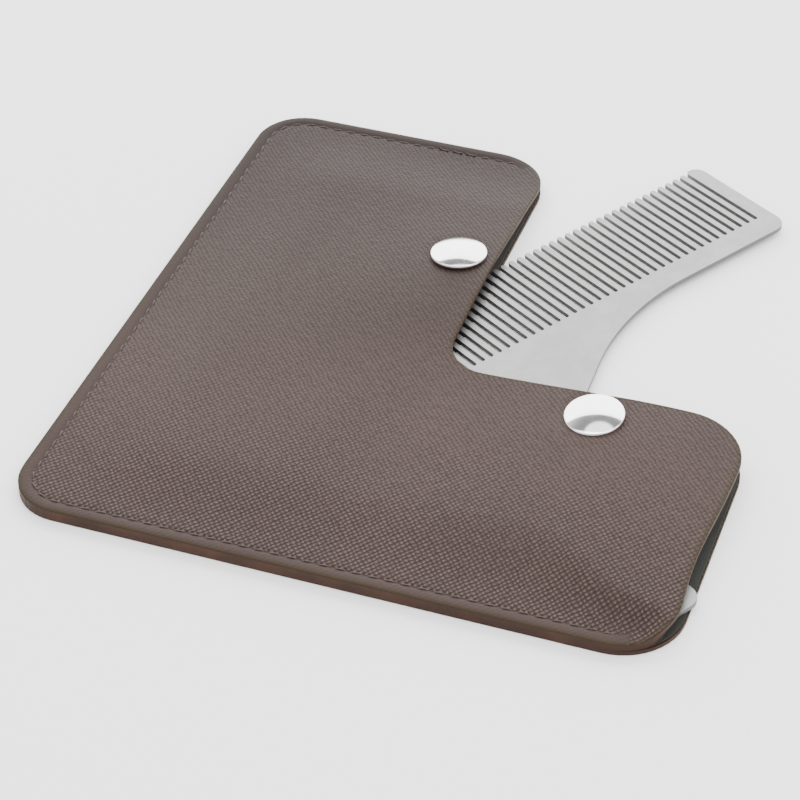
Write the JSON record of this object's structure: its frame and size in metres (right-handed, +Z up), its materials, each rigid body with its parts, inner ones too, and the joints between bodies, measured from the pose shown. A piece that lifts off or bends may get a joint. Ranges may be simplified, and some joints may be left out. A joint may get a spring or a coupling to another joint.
{
  "type": "beard comb in pouch",
  "caption": "Flat steel beard comb with a toothed arm, bend and straight blade, held in an L-shaped stitched leather pouch closed by press studs.",
  "frame": {"origin": "middle of the base of the whole box, on the surface the pouch lies on", "axes": "+Z up through the pouch's thickness, front panel up; +Y along the pouch's long sewn edge towards the comb's tip; +X towards the open end of the lower wing"},
  "size_m": [0.1368, 0.1568, 0.0081],
  "materials": {
    "leather": "cross-hatch embossed, semi-matt",
    "lining": "napped dark lining",
    "thread": "waxed brown thread",
    "comb_steel": "satin",
    "snap_chrome": "polished",
    "snap_nickel": "plated",
    "spring_steel": "bright wire"
  },
  "bodies": {
    "pouch": {"back_panel": "leather", "back_lining": "lining", "front_panel": "leather", "front_lining": "lining", "seam_thread": "thread", "upper_snap_stud": "snap_nickel", "upper_snap_post": "snap_nickel", "lower_snap_stud": "snap_nickel", "lower_snap_post": "snap_nickel"},
    "comb": {"comb_plate": "comb_steel"},
    "upper_flap": {"upper_flap_panel": "leather", "upper_flap_lining": "lining", "upper_snap_cap": "snap_chrome", "upper_snap_socket": "snap_nickel", "upper_snap_spring": "spring_steel"},
    "lower_flap": {"lower_flap_panel": "leather", "lower_flap_lining": "lining", "lower_snap_cap": "snap_chrome", "lower_snap_socket": "snap_nickel", "lower_snap_spring": "spring_steel"}
  },
  "joints": [
    {"name": "comb_slide", "type": "slide", "parent": "pouch", "child": "comb", "axis": [0.521, 0.8536, 0], "range_m": [-0.001, 0.001]},
    {"name": "upper_flap_lift", "type": "hinge", "parent": "pouch", "child": "upper_flap", "pos_m": [-0.04044, 0.01962, 0.0036], "axis": [0, -1, 0], "range_deg": [0, 8]},
    {"name": "lower_flap_lift", "type": "hinge", "parent": "pouch", "child": "lower_flap", "pos_m": [0.00359, -0.00955, 0.005], "axis": [0.6211, -0.7837, 0], "range_deg": [0, 10]}
  ]
}
